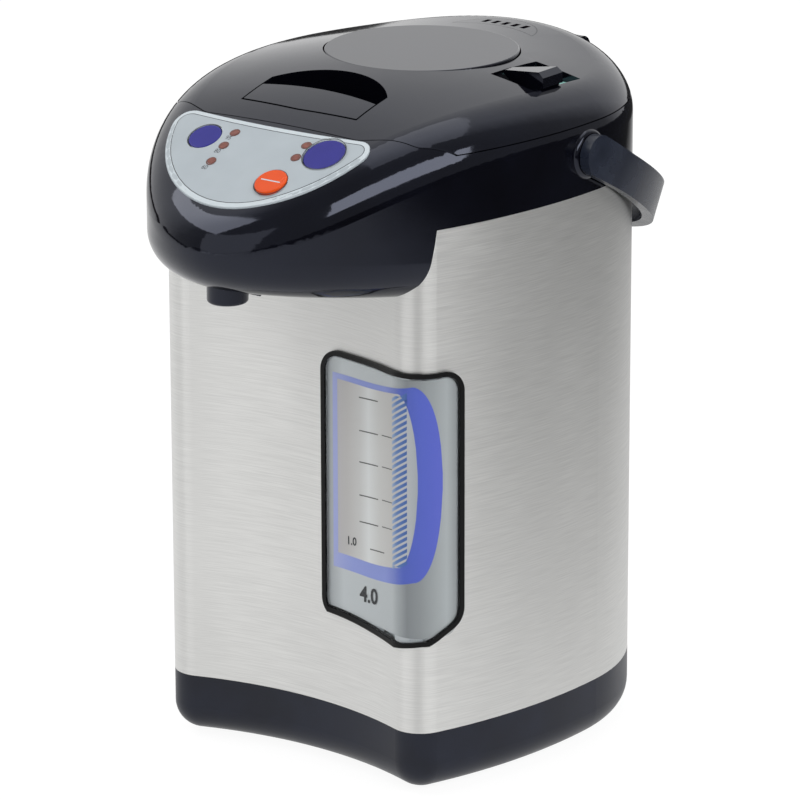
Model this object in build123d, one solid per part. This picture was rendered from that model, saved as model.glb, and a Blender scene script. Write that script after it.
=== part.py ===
"""Electric thermo pot, 4 litre class, as an assembly of separate parts.

Millimetres, +Z up. The origin is on the table under the middle of the pot,
+Y points to the back, and the beak with the spout points to -Y.
"""

import os
from copy import deepcopy
from functools import lru_cache
from math import cos, radians, sin

from build123d import *

# ---------------------------------------------------------------- body plan
# The plan is a chain of tangent arcs, given by radius and by the heading
# that each arc ends on, from the middle of the hollow front to the back.
hollow_y = -86.7
hollow_radius = 182.6
hollow_turn = 19.5
corner_radius = 14.6
corner_heading = 68.6
side_radius = 271.4
side_heading = 91.2
quarter_radius = 91.6
quarter_heading = 130.0

# ------------------------------------------------------------------ heights
foot_height = 2.0
base_height = 32.5
steel_top = 279.1
lid_seam = 312.0
chin_floor = 245.0
plate_top = 335.0

# --------------------------------------------------------------- head shape
beak_tip_y = -165.8
beak_tip_handle = 26.7
beak_side_handle = 116.4
beak_join_heading = 83.0
head_round = 24.0
chin_round = 20.0
chin_rise = 6.4
chin_rise_y = -95.0
# crest line of the head: distance from the pot's axis, height, and how far
# the crown has dropped at crown_reach to either side
crown_reach = 115.0
crest_line = (
    (-185.0, 277.4, 0.7),
    (-135.0, 303.6, 2.7),
    (-105.0, 319.4, 7.0),
    (-75.0, 329.2, 12.0),
    (-40.0, 335.4, 17.0),
    (5.0, 336.9, 19.0),
    (50.0, 334.4, 19.0),
    (114.0, 327.3, 19.0),
)

# --------------------------------------------------------------- thicknesses
shell_wall = 2.5
steel_wall = 0.8
pot_wall = 1.0
base_wall = 3.0
base_round = 14.0
base_floor = 5.0
foot_inset = 17.0
foot_width = 6.0
spigot_height = 6.0
post_radius = 2.5
lug_half = 8.0

# ---------------------------------------------------------------- clearances
gap = 0.3
seam_gap = 0.5
slide_gap = 0.35
pin_gap = 0.05
seal_gap = 0.1

# ------------------------------------------------------------------ inner pot
pot_y = 6.5
pot_radius = 82.0
pot_floor = 66.0
pot_floor_round = 14.0
pot_shoulder = 256.0
neck_radius = 64.0
neck_base = 282.0
flange_radius = 74.0
deck_bottom = 298.0
deck_top = 301.0
pocket_inset = 9.0

# ------------------------------------------------------------------------ lid
lid_edge = ((45.0, -103.5), (71.0, -92.5), (86.0, -73.0))
lid_edge_round = 12.0
tray_floor = 303.0
tray_wall = 2.0
tray_clearance = 1.0
tray_rim_top = 314.5
plug_radius = 58.0
plug_bottom = 292.0
gasket_inner = 66.0
gasket_outer = 71.0
hinge_y = 105.0
hinge_z = 318.6
hinge_radius = 6.5
hinge_play = 0.5
hinge_half = 25.0
knuckle_half = 13.0
hinge_pin_radius = 2.0
hinge_foot_y = 92.5
tongue_y = 91.2

# ----------------------------------------------------------------- pump plate
plate_radius = 46.9
plate_thickness = 3.0
plate_skirt = 8.0
plate_wall = 2.0
plate_gap = 0.6
guide_wall = 2.2
guide_bottom = 315.0
bellows_radius = 38.0
bellows_fold = 5.0
bellows_wall = 1.2
bellows_folds = 4
coil_radius = 20.0
coil_width = 2.4
coil_height = 1.4
coil_turns = 4

# ------------------------------------------------------------------ pump lock
lock_inner = 52.8
lock_outer = 78.6
lock_front = -10.5
lock_back = 26.5
lock_floor = 324.0
lock_wall = 1.5
lock_foot_length = 22.0
lock_foot_height = 2.4
lock_foot_gap = 0.9
knob_tip_half = 3.0
knob_end_half = 8.0
knob_y = 2.0
knob_overhang = 4.1
slot_round = 0.5

# ---------------------------------------------------------------- lid latch
flap_half = 33.2
flap_front_y = -90.3
flap_back_y = -71.5
flap_bow = 2.6
flap_thickness = 3.0
flap_gap = 0.9
recess_back_y = -49.5
recess_shoulder_y = -66.0
recess_floor = 316.5
recess_wall = 1.8
latch_y = -88.0
latch_z = 321.5
latch_pin_radius = 1.5
latch_ear = 2.0
bolt_half = 7.0
bolt_nose_y = -102.9
bolt_nose_low = 309.6
bolt_nose_high = 311.6

# ----------------------------------------------------------------- steam vent
vent_half = 24.0
vent_front_y = 63.0
vent_back_y = 84.0
vent_slots = 5

# -------------------------------------------------------------- control panel
panel_half = 58.8
panel_corner_y = -102.5
panel_back_y = -107.0
panel_front_y = -153.5
panel_round = 7.5
panel_lift = 0.6
panel_seat = 0.9
panel_tilt = 27.8
key_lift = 1.3
key_depth = 4.6
key_stem_radius = 2.0
key_stem_end = -5.0
dispense_key_at = (36.2, -116.4)
dispense_key_radius = 10.2
temperature_key_at = (-31.8, -119.0)
temperature_key_radius = 8.1
reboil_key_at = (21.0, -137.0)
reboil_key_radius = 7.9
lens_radius = 1.9
lens_places = ((-17.8, -114.2), (-17.8, -122.6), (-17.8, -132.0), (23.7, -113.6), (23.7, -121.6))
board_depth = 7.5
board_thickness = 1.6
board_half = 41.0
board_length = 33.0
board_margin = 4.0
board_post_x = 36.0
board_post_y = -6.0
board_centre_y = -128.0
switch_height = 1.4

# ----------------------------------------------------------------------- chin
chin_edge = ((-89.9, 0.0), (-93.2, -17.1), (-97.7, -32.1))
chin_middle = 60.0
nozzle_y = -143.8
nozzle_radius = 9.75
nozzle_bottom = 243.9
nozzle_top = 266.0
nozzle_flange = 11.5
nozzle_seat = 258.0
nozzle_bore = 6.0
cup_lever_y = -119.0
cup_lever_z = 254.0
cup_lever_half = 6.0
cup_lever_tip = 243.4
lever_pin_radius = 1.5

# --------------------------------------------------------------- bail handle
bail_y = 6.0
bail_z = 297.8
bail_droop = 28.4
boss_radius = 12.0
boss_reach = 99.6
boss_depth = 6.0
bail_outer = 105.0
bail_reach = 130.0
bail_pull = 0.67
bail_thickness = 5.0
bail_grip_thickness = 6.5
bail_wall = 2.0
bail_hub_radius = 10.0
bail_straight = 30.0
bail_arm_half = 9.3
bail_grip_half = 9.8
bail_pin_radius = 3.5
bail_pin_reach = 90.0

# --------------------------------------------------------------- level gauge
gauge_left_x = 10.8
gauge_right_y = -75.4
gauge_top = 210.5
gauge_low_x = 38.0
gauge_low_z = 70.4
gauge_left_z = 78.5
gauge_corner_z = 76.5
gauge_right_z = 86.5
gauge_round = 11.0
gauge_rim = 2.4
gauge_lip = 1.0
gauge_proud = 1.4
gauge_plate_depth = 1.0
gauge_lens_thickness = 1.0
slot_left_x = 61.6
slot_right_x = 69.6
slot_bottom = 112.0
slot_top = 199.0
tube_x = 65.4
tube_y = -84.2
tube_radius = 5.0
tube_wall = 1.2
tube_bottom = 84.0
tube_top = 262.0

# ------------------------------------------------------------------ lower deck
bottom_radius = 56.0
bottom_y = 8.0
bottom_screw_radius = 49.0
screw_radius = 1.6
screw_head_radius = 3.2
pump_x = -44.0
pump_y = -34.0
motor_radius = 13.5
motor_top = 34.0
housing_radius = 21.0
housing_top = 48.0
hose_radius = 4.5
hose_wall = 1.4
outlet_z = 41.0
outlet_stub = 5.0
heater_radius = 48.0
heater_thickness = 4.0
element_radius = 34.0
element_wire = 3.3
thermostat_radius = 8.0
thermostat_height = 7.0
thermostat_places = ((4.0, -4.0), (-12.0, 16.0))
band_bottom = 84.0
band_height = 26.0
band_thickness = 1.6
board_x = 24.0
board_y = 10.0
power_board_z = 14.0
power_board_size = (44.0, 50.0)
inlet_low = 40.0
inlet_half = 17.0
inlet_height = 24.0
inlet_proud = 1.5
inlet_bezel = 2.5
inlet_recess_half = 12.5
inlet_recess_height = 14.0
inlet_depth = 16.0
inlet_pin_radius = 1.6
inlet_pin_length = 9.0


# ================================================================ plan curves
def body_side(grow=0.0):
    """Front hollow, front corner and side arc of the plan, moved out by grow."""
    hollow = JernArc((0, hollow_y - grow), (1, 0), hollow_radius - grow, -hollow_turn)
    corner = JernArc(hollow @ 1, hollow % 1, corner_radius + grow, hollow_turn + corner_heading)
    side = JernArc(corner @ 1, corner % 1, side_radius + grow, side_heading - corner_heading)
    return hollow, corner, side


def body_back(side, grow=0.0):
    """Rear quarter and back arc that follow a side arc."""
    quarter = JernArc(side @ 1, side % 1, quarter_radius + grow, quarter_heading - side_heading)
    end = quarter @ 1
    back = JernArc(end, quarter % 1, end.X / sin(radians(quarter_heading)), 180 - quarter_heading)
    return quarter, back


def closed_face(half):
    """Face between a half outline and its mirror image across x = 0."""
    curve = Curve() + list(half)
    return make_face(curve + mirror(curve, Plane.YZ))


def body_face(grow=0.0):
    hollow, corner, side = body_side(grow)
    quarter, back = body_back(side, grow)
    return closed_face((hollow, corner, side, quarter, back))


def head_face(grow=0.0):
    """Plan of the head: the body's sides and back with the beak in front."""
    side = body_side(grow)[2]
    share = (beak_join_heading - corner_heading) / (side_heading - corner_heading)
    join, heading = side @ share, side % share
    tip = Vector(0, beak_tip_y - grow)
    beak = Bezier(tip, tip + Vector(beak_tip_handle + grow, 0), join - heading * beak_side_handle, join)
    rest = JernArc(join, heading, side_radius + grow, side_heading - beak_join_heading)
    quarter, back = body_back(rest, grow)
    return closed_face((beak, rest, quarter, back))


def prism(face, low, high):
    """Upright solid on a plan face between two heights."""
    return extrude(Pos(0, 0, low) * face, high - low)


def ring(face, hole, low, high):
    return prism(face, low, high) - prism(hole, low, high)


# ================================================================= head form
def above_chin_floor(inset):
    """Everything over the floor of the chin, which rises towards the beak."""
    tilt = radians(chin_rise)
    floor = Plane(origin=(0, chin_rise_y, chin_floor), x_dir=(1, 0, 0), z_dir=(0, sin(tilt), cos(tilt)))
    return extrude(floor.offset(inset) * Rectangle(600, 600), 300)


def crest_section(y, height, drop, sink):
    """Upright section of everything under the crest line at one y."""
    plane = Plane(origin=(0, y, 0), x_dir=(1, 0, 0), z_dir=(0, -1, 0))
    edge = height - drop - sink
    low = chin_floor - 60
    crown = ThreePointArc((-crown_reach, edge), (0, height - sink), (crown_reach, edge))
    box = Polyline((crown_reach, edge), (crown_reach, low), (-crown_reach, low), (-crown_reach, edge))
    return plane * make_face(crown + box)


def under_crest(sink=0.0):
    return loft([crest_section(y, height, drop, sink) for y, height, drop in crest_line])


@lru_cache
def rounded_form(inset):
    block = prism(head_face(-inset), chin_floor - 50, plate_top + 20)
    form = block & under_crest(inset) & above_chin_floor(inset)
    form = fillet(form.faces().sort_by(Axis.Z)[-1].edges(), head_round - inset)
    return fillet(form.faces().sort_by(Axis.Z)[0].edges(), chin_round - inset)


def head_form(inset=0.0):
    """Closed outer form of head and chin together, moved in by inset."""
    return deepcopy(rounded_form(inset))


def surface_at(x, y):
    """Height of the head's crown over a plan position."""
    pairs = list(zip(crest_line, crest_line[1:]))
    low, high = [pair for pair in pairs if pair[0][0] <= y <= pair[1][0]][0]
    share = (y - low[0]) / (high[0] - low[0])
    crest = low[1] + share * (high[1] - low[1])
    drop = low[2] + share * (high[2] - low[2])
    return crest - drop * (x / crown_reach) ** 2


def box(x0, x1, y0, y1, z0, z1):
    """Box between limits."""
    return Pos((x0 + x1) / 2, (y0 + y1) / 2, (z0 + z1) / 2) * Box(x1 - x0, y1 - y0, z1 - z0)


def rod(radius, x, y, low, high):
    """Upright cylinder."""
    return prism(Pos(x, y) * Circle(radius), low, high)


def sleeve(radius, hole, x, y, low, high):
    return rod(radius, x, y, low, high) - rod(hole, x, y, low, high)


def bar(radius, y, z, x0, x1):
    """Cylinder along X."""
    return Pos(x0, y, z) * extrude(Plane.YZ * Circle(radius), x1 - x0)


def side_prism(outline, x0, x1):
    """Solid on a face drawn in (y, z), between two x."""
    return Pos(x0, 0, 0) * extrude(Plane.YZ * outline, x1 - x0)


def polygon(*points):
    return make_face(Polyline(*points, close=True))


def both(shape):
    """A shape together with its mirror image across x = 0."""
    return shape + mirror(shape, Plane.YZ)


def pipe(radius, hole, bend, *points):
    """Bent pipe along a path of points."""
    path = FilletPolyline(*points, radius=bend)
    start = Plane(path @ 0, z_dir=path % 0)
    return sweep(start * Circle(radius), path) - sweep(start * Circle(hole), path)


# ====================================================================== base
def screw_places():
    return [place.position + Vector(0, bottom_y) for place in PolarLocations(bottom_screw_radius, 4)]


def base_shell():
    """Plastic base: skirt with a rounded foot, floor, and a spigot inside the steel."""
    outer = prism(body_face(), foot_height, base_height)
    outer = fillet(outer.faces().sort_by(Axis.Z)[0].edges(), base_round)
    outer += prism(body_face(-steel_wall), base_height, base_height + spigot_height)
    inner = prism(body_face(-base_wall), base_floor, base_height + spigot_height)
    inner = fillet(inner.faces().sort_by(Axis.Z)[0].edges(), base_round - base_wall)
    shell = outer - inner - rod(bottom_radius, 0, bottom_y, 0, base_floor)
    for at in screw_places():
        shell += Pos(at.X, at.Y, base_floor * 1.5) * Box(lug_half * 2, lug_half * 2, base_floor)
        shell -= rod(screw_radius, at.X, at.Y, 0, base_floor * 2)
    return shell - foot_ring()


def foot_ring():
    """Rubber ring that the pot stands on, sunk in a groove of the base."""
    outer = offset(body_face(), -foot_inset)
    return ring(outer, offset(outer, -foot_width), 0, foot_height + 1)


def board_corners():
    half_x, half_y = power_board_size[0] / 2 - 4, power_board_size[1] / 2 - 4
    return [(board_x + i * half_x, board_y + j * half_y) for i in (-1, 1) for j in (-1, 1)]


def bottom_plate():
    """Plate that closes the floor of the base, with posts for the power board."""
    plate = rod(bottom_radius - gap, 0, bottom_y, foot_height, base_floor)
    for at in screw_places():
        plate -= rod(screw_radius, at.X, at.Y, 0, base_floor)
        plate -= rod(screw_head_radius, at.X, at.Y, 0, foot_height + 1)
    for x, y in board_corners():
        plate += rod(post_radius, x, y, base_floor, power_board_z)
    return plate


def bottom_screws():
    """Four screws of the bottom plate."""
    screws = []
    for at in screw_places():
        head = rod(screw_head_radius, at.X, at.Y, foot_height, foot_height + 1)
        screws.append(head + rod(screw_radius, at.X, at.Y, foot_height + 1, base_floor * 2))
    return Compound(screws)


def body_back_y():
    return body_face().bounding_box().max.Y


def inlet_block(grow):
    """Body of the inlet in the back of the steel, made wider by grow."""
    half, back = inlet_half + grow, body_back_y()
    return box(-half, half, back - inlet_depth - 4, back + 20, inlet_low - grow, inlet_low + inlet_height + grow)


def power_inlet():
    """Magnetic inlet: housing and bezel with a recess and two pins."""
    back, middle = body_back_y(), inlet_low + inlet_height / 2
    housing = inlet_block(0.0) & prism(body_face(), 0, steel_top)
    bezel = inlet_block(inlet_bezel) & ring(body_face(inlet_proud), body_face(), 0, steel_top)
    half, high = inlet_recess_half, inlet_recess_height / 2
    recess = box(-half, half, back - inlet_depth, back + 20, middle - high, middle + high)
    pins = [Pos(x, back - inlet_depth, middle) * Rot(-90, 0, 0) * Cylinder(
        inlet_pin_radius, inlet_pin_length, align=(Align.CENTER, Align.CENTER, Align.MIN))
        for x in (-inlet_recess_half / 2, inlet_recess_half / 2)]
    return housing + bezel - recess + pins


# ================================================================ steel body
def gauge_region(inset):
    """Space in front of and beside the pot inside the gauge's outline."""
    far = 140.0
    front = polygon(
        (gauge_left_x, gauge_top), (gauge_left_x, gauge_left_z), (gauge_low_x, gauge_low_z),
        (gauge_low_x * 2, gauge_corner_z), (far, gauge_corner_z), (far, gauge_top))
    front = fillet(front.vertices().sort_by(Axis.X)[:2], gauge_round)
    front = fillet(front.vertices().sort_by_distance((gauge_low_x, gauge_low_z))[0], gauge_round * 3)
    beside = polygon(
        (-far, gauge_top), (-far, gauge_corner_z - 20), (-far / 1.5, gauge_corner_z),
        (gauge_right_y, gauge_right_z), (gauge_right_y, gauge_top))
    beside = fillet(beside.vertices().sort_by(Axis.X)[-2:], gauge_round)
    front = offset(front, -inset)
    beside = offset(beside, -inset)
    wide = extrude(Plane.XZ * front, far)
    return wide & side_prism(beside, 0, far)


def steel_shell():
    """Brushed steel sleeve with the openings of the gauge and the inlet."""
    shell = ring(body_face(), body_face(-steel_wall), base_height, steel_top)
    return shell - gauge_region(gauge_lip) - inlet_block(gap)


def gauge_frame():
    """Black rim of the level gauge, with a lip that drops into the steel."""
    proud = ring(body_face(gauge_proud), body_face(), base_height, steel_top)
    lip = ring(body_face(), body_face(-steel_wall - gauge_proud), base_height, steel_top)
    frame = (proud & gauge_region(0.0)) + (lip & gauge_region(gauge_lip + 0.1))
    return frame - gauge_region(gauge_rim)


def gauge_lens():
    """Clear cover of the gauge."""
    sheet = ring(body_face(gauge_lens_thickness), body_face(), base_height, steel_top)
    return sheet & gauge_region(gauge_rim)


def gauge_plate():
    """Printed plate behind the clear cover, with the slot of the level tube."""
    sheet = ring(body_face(), body_face(-gauge_plate_depth), base_height, steel_top)
    slot = box(slot_left_x, slot_right_x, -140, 0, slot_bottom, slot_top)
    slot = fillet(slot.edges().filter_by(Axis.Y), (slot_right_x - slot_left_x) / 2 - 0.1)
    return (sheet & gauge_region(gauge_rim)) - slot


def level_tube():
    return sleeve(tube_radius, tube_radius - tube_wall, tube_x, tube_y, tube_bottom, tube_top)


# ================================================================= inner pot
def pot_profile(radius, neck, low, top):
    """Half section of a pot with a shoulder and a neck."""
    path = Polyline((0, low), (radius, low), (radius, pot_shoulder), (neck, neck_base), (neck, top), (0, top))
    face = make_face(path + Line((0, top), (0, low)))
    corner = face.vertices().sort_by_distance((radius, low))[0]
    face = fillet(corner, pot_floor_round)
    shoulder = face.vertices().sort_by_distance((radius, pot_shoulder))[0]
    return fillet(shoulder, pot_floor_round)


def inner_pot():
    """Steel water pot hung by its flange from the deck of the collar."""
    outer = revolve(Plane.XZ * pot_profile(pot_radius, neck_radius, pot_floor, deck_top), Axis.Z)
    inner_face = pot_profile(pot_radius - pot_wall, neck_radius - pot_wall, pot_floor + pot_wall, deck_top + 5)
    pot = outer + rod(flange_radius, 0, 0, deck_top, deck_top + pot_wall)
    pot -= revolve(Plane.XZ * inner_face, Axis.Z)
    pot = Pos(0, pot_y, 0) * pot
    stub = rod(hose_radius - hose_wall - 0.1, pump_x, pump_y, pot_floor - outlet_stub, pot_floor + pot_wall)
    return pot + stub - rod(hose_radius - hose_wall - 1, pump_x, pump_y, 0, pot_floor + 5)


def heater_plate():
    """Boiling heater: disc with a ring element under the pot."""
    disc = rod(heater_radius, 0, pot_y, pot_floor - heater_thickness, pot_floor)
    element = Pos(0, pot_y, pot_floor - heater_thickness) * Torus(element_radius, element_wire)
    below = rod(pot_radius, 0, pot_y, 0, pot_floor - heater_thickness + 1)
    return disc + (element & below)


def thermostats():
    """Two sensors pressed to the heater."""
    high = pot_floor - heater_thickness
    cans = []
    for x, y in thermostat_places:
        can = rod(thermostat_radius, x, y, high - thermostat_height, high)
        cans.append(can + rod(thermostat_radius - 3, x, y, high - thermostat_height - 3, high))
    return Compound(cans)


def warming_band():
    """Keep-warm heater wrapped around the pot, with its clamping ears."""
    outer = pot_radius + band_thickness
    band = sleeve(outer, pot_radius, 0, pot_y, band_bottom, band_bottom + band_height)
    ear_y = pot_y + outer
    ears = box(-5, 5, ear_y - 1, ear_y + 7, band_bottom + 4, band_bottom + band_height - 4)
    split = box(-2, 2, pot_y, ear_y + 10, 0, steel_top)
    return band + ears - split


# ================================================================ water path
def pump_motor():
    return rod(motor_radius, pump_x, pump_y, base_floor, motor_top)


def pump_housing():
    """Pump chamber on the motor, with inlet on top and outlet at the side."""
    low = motor_top
    housing = rod(housing_radius, pump_x, pump_y, low, housing_top)
    housing = fillet(housing.edges().filter_by(GeomType.CIRCLE), 2)
    nozzle = rod(hose_radius - hose_wall - 0.1, pump_x, pump_y, low, housing_top + outlet_stub)
    spout = Pos(pump_x, pump_y, outlet_z) * extrude(
        Plane.YZ * Circle(hose_radius - hose_wall - 0.1), housing_radius + outlet_stub)
    hole = rod(hose_radius - hose_wall - 1, pump_x, pump_y, housing_top - 4, housing_top + 20)
    return housing + nozzle + spout - hole


def inlet_hose():
    """Silicone hose from the pot down to the pump."""
    return sleeve(hose_radius, hose_radius - hose_wall, pump_x, pump_y, housing_top, pot_floor - 0.2)


def outlet_hose():
    """Silicone hose from the pump to the foot of the level tube."""
    start = (pump_x + housing_radius + 0.2, pump_y, outlet_z)
    turn = (tube_x, tube_y, outlet_z)
    return pipe(hose_radius, hose_radius - hose_wall, 14, start, (pump_x + 40, pump_y, outlet_z), turn,
                (tube_x, tube_y, tube_bottom))


def spout_pipe():
    """Pipe from the head of the level tube over the steel into the nozzle."""
    high = steel_top + hose_radius + 1.5
    return pipe(hose_radius, hose_radius - hose_wall, 6, (tube_x, tube_y, tube_top), (tube_x, tube_y, high),
                (0, nozzle_y, high), (0, nozzle_y, nozzle_top))


def power_board():
    """Power board with transformer, relay and heat sink."""
    half_x, half_y = power_board_size[0] / 2, power_board_size[1] / 2
    top = power_board_z + board_thickness
    board = box(board_x - half_x, board_x + half_x, board_y - half_y, board_y + half_y, power_board_z, top)
    board += box(board_x - 20, board_x, board_y - 24, board_y - 2, top, top + 16)
    board += box(board_x + 6, board_x + 20, board_y - 20, board_y, top, top + 12)
    for y in (board_y + 8, board_y + 14, board_y + 20):
        board += box(board_x - 20, board_x + 20, y, y + 2, top, top + 14)
    return board + box(board_x - 20, board_x + 20, board_y + 8, board_y + 22, top, top + 3)


# ============================================================ head: the lid's plan
def lid_face(grow=0.0):
    """Plan of the lid: everything behind its front edge."""
    far = 160.0
    right = list(lid_edge) + [(far, lid_edge[-1][1]), (far, far)]
    left = [(-x, y) for x, y in reversed(right)]
    face = polygon(*right, *left)
    corners = [face.vertices().sort_by_distance((sign * x, y))[0] for sign in (-1, 1) for x, y in lid_edge]
    face = fillet(corners, lid_edge_round)
    return offset(face, grow) if grow else face


def pocket_face(shrink=0.0):
    """Plan of the pocket in the collar that takes the underside of the lid."""
    return head_face(-pocket_inset - shrink) & lid_face(-shrink)


def below(high):
    return box(-160, 160, -200, 160, 0, high)


# ==================================================================== collar
def panel_face():
    """Plan of the control panel: back edge bowed forward, round front, round corners."""
    left, right = (-panel_half, panel_corner_y), (panel_half, panel_corner_y)
    back = ThreePointArc(left, (0, panel_back_y), right)
    face = make_face(back + ThreePointArc(right, (0, panel_front_y), left))
    return fillet(face.vertices(), panel_round)


def key_axis(x, y):
    """Plane on the panel at a plan position; its Z leaves the panel squarely."""
    origin = (x, y, surface_at(x, y))
    tilt = radians(panel_tilt)
    return Plane(origin=origin, x_dir=(1, 0, 0), z_dir=(0, -sin(tilt), cos(tilt)))


def key_shaft(at, radius, low, high):
    """Cylinder square to the panel between two distances from its surface."""
    return extrude(key_axis(*at) * Pos(0, 0, low) * Circle(radius), high - low)


def panel_holes(clearance):
    keys = ((dispense_key_at, dispense_key_radius), (temperature_key_at, temperature_key_radius),
            (reboil_key_at, reboil_key_radius))
    cuts = [key_shaft(at, radius + clearance, -key_depth - 6, 12) for at, radius in keys]
    cuts += [key_shaft(at, lens_radius, -key_depth, 12) for at in lens_places]
    return cuts


def bail_bosses():
    """Round bosses at the sides of the collar that carry the bail handle."""
    start = boss_reach - boss_depth
    boss = bar(boss_radius, bail_y, bail_z, start, boss_reach)
    boss = fillet(boss.faces().sort_by(Axis.X)[-1].edges(), 2)
    return both(boss)


def shoulder_collar():
    """Black shoulder of the pot with the beak, the deck and the lid's pocket."""
    collar = head_form() - below(steel_top) - prism(lid_face(), lid_seam, 400)
    collar -= head_form(shell_wall) - prism(lid_face(shell_wall), deck_bottom, 400)
    collar -= prism(pocket_face(), deck_top, 400)
    collar -= rod(neck_radius + gap, 0, pot_y, steel_top, 400)
    collar += bail_bosses() - head_form(shell_wall)
    collar -= both(bar(bail_pin_radius, bail_y, bail_z, bail_pin_reach - 2, boss_reach + 1))
    collar -= prism(panel_face(), steel_top, 400) - head_form(panel_seat)
    for x in (-board_post_x, board_post_x):
        post = Pos(x, board_post_y, -board_depth) * Circle(post_radius)
        collar += extrude(key_axis(0, board_centre_y) * post, board_depth - panel_seat - 0.6)
    return cut_all(collar, panel_holes(slide_gap))


def cut_all(shape, cuts):
    for cut in cuts:
        shape = shape - cut
    return shape


def control_panel():
    """Printed panel sheet on the sloping head, with holes for keys and lamps."""
    sheet = (head_form(-panel_lift) - head_form(panel_seat)) & prism(panel_face(), steel_top, 400)
    return cut_all(sheet, panel_holes(slide_gap))


def key(at, radius):
    """Push key: flat cap with a rounded edge, and a stem to its switch."""
    cap = key_shaft(at, radius, -key_depth, key_lift)
    cap = fillet(cap.faces().sort_by(Axis.Z)[-1].edges(), 0.6)
    return cap + key_shaft(at, key_stem_radius, key_stem_end, -key_depth)


def indicator_lenses():
    """Five lamp lenses set in the panel."""
    form = head_form(-panel_lift - 0.2)
    return Compound([key_shaft(at, lens_radius, -key_depth, 12) & form for at in lens_places])


def panel_board():
    """Small board with switches and lamps under the panel."""
    plane = key_axis(0, board_centre_y)
    board = extrude(plane * Pos(0, 0, -board_depth - board_thickness) * Rectangle(board_half * 2, board_length),
                    board_thickness) & head_form(board_margin)
    for at in (dispense_key_at, temperature_key_at, reboil_key_at):
        board += extrude(key_axis(*at) * Pos(0, 0, -board_depth) * Rectangle(6, 6), switch_height)
    return board


# ====================================================================== chin
def chin_region():
    """Where the chin cover is: in front of its curved rear edge, and down to the steel."""
    points = [(y, steel_top + drop) for y, drop in chin_edge]
    edge = ThreePointArc(*points)
    low = chin_floor - 5
    rest = Polyline(points[-1], (points[-1][0], low), (-200, low), (-200, steel_top), points[0])
    region = side_prism(make_face(edge + rest), -160, 160)
    return region + box(-chin_middle, chin_middle, -200, 0, low, steel_top)


def chin_cover():
    """Rounded cover under the beak, open at the top and against the steel."""
    chin = (head_form() - head_form(shell_wall)) & chin_region()
    chin -= prism(body_face(gap), 0, steel_top + 1)
    chin += rod(nozzle_flange + 1.5, 0, nozzle_y, chin_floor, nozzle_seat) & head_form(1.0)
    chin -= rod(nozzle_radius + gap, 0, nozzle_y, 0, nozzle_top)
    slot = box(-cup_lever_half - 1, cup_lever_half + 1, cup_lever_y - 9, cup_lever_y + 7, 240, 252)
    lugs = both(box(cup_lever_half + 1, cup_lever_half + 4, cup_lever_y - 4, cup_lever_y + 4,
                    chin_floor + 1, cup_lever_z + 4))
    chin = chin - slot + (lugs & head_form(1.0))
    return chin - bar(lever_pin_radius, cup_lever_y, cup_lever_z, -20, 20)


def spout_nozzle():
    """Nozzle through the floor of the chin, with a flange inside."""
    body = rod(nozzle_radius, 0, nozzle_y, nozzle_bottom, nozzle_top)
    body = fillet(body.faces().sort_by(Axis.Z)[0].edges(), 1.5)
    body += rod(nozzle_flange, 0, nozzle_y, nozzle_seat, nozzle_seat + 2)
    body -= rod(nozzle_bore, 0, nozzle_y, 0, nozzle_top - 8)
    return body - rod(hose_radius - hose_wall, 0, nozzle_y, 0, nozzle_top)


def cup_lever():
    """Tongue behind the nozzle that the rim of a cup pushes back."""
    y, z, tip = cup_lever_y, cup_lever_z, cup_lever_tip
    outline = polygon((y - 3, z + 2), (y + 2, z + 2), (y + 2, z - 6), (y - 4, tip + 3), (y - 8, tip), (y - 9, tip + 2))
    lever = side_prism(outline, -cup_lever_half, cup_lever_half)
    reach = cup_lever_half + 3.5
    return lever + bar(lever_pin_radius - pin_gap, y, z, -reach, reach)


# ======================================================================= lid
def finger_recess_face(grow=0.0):
    """Plan of the recess: the flap in front, the finger hollow behind."""
    half = flap_half + flap_gap + grow
    front, back = flap_front_y - flap_gap - 0.2 - grow, recess_back_y + grow
    outline = Polyline((-half, recess_shoulder_y), (-half, front + 1.5), (0, front), (half, front + 1.5),
                       (half, recess_shoulder_y))
    return make_face(outline + ThreePointArc((half, recess_shoulder_y), (0, back), (-half, recess_shoulder_y)))


def lock_slot_face(grow=0.0):
    width, length = lock_outer - lock_inner, lock_back - lock_front
    slot = RectangleRounded(width + 2 * grow, length + 2 * grow, slot_round + grow)
    return Pos(lock_inner + width / 2, lock_front + length / 2) * slot


def vent_face(grow=0.0):
    """Crescent plan of the steam vent."""
    outer = ThreePointArc((-vent_half, vent_front_y), (0, vent_back_y), (vent_half, vent_front_y))
    inner = ThreePointArc((vent_half, vent_front_y), (0, vent_front_y + 6), (-vent_half, vent_front_y))
    face = make_face(outer + inner)
    return offset(face, grow) if grow else face


def hinge_notch(front):
    """Space that the lid leaves for the hinge block, from y = front to the back."""
    half = hinge_half + gap
    return box(-half, half, front, 160, 0, 400)


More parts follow.
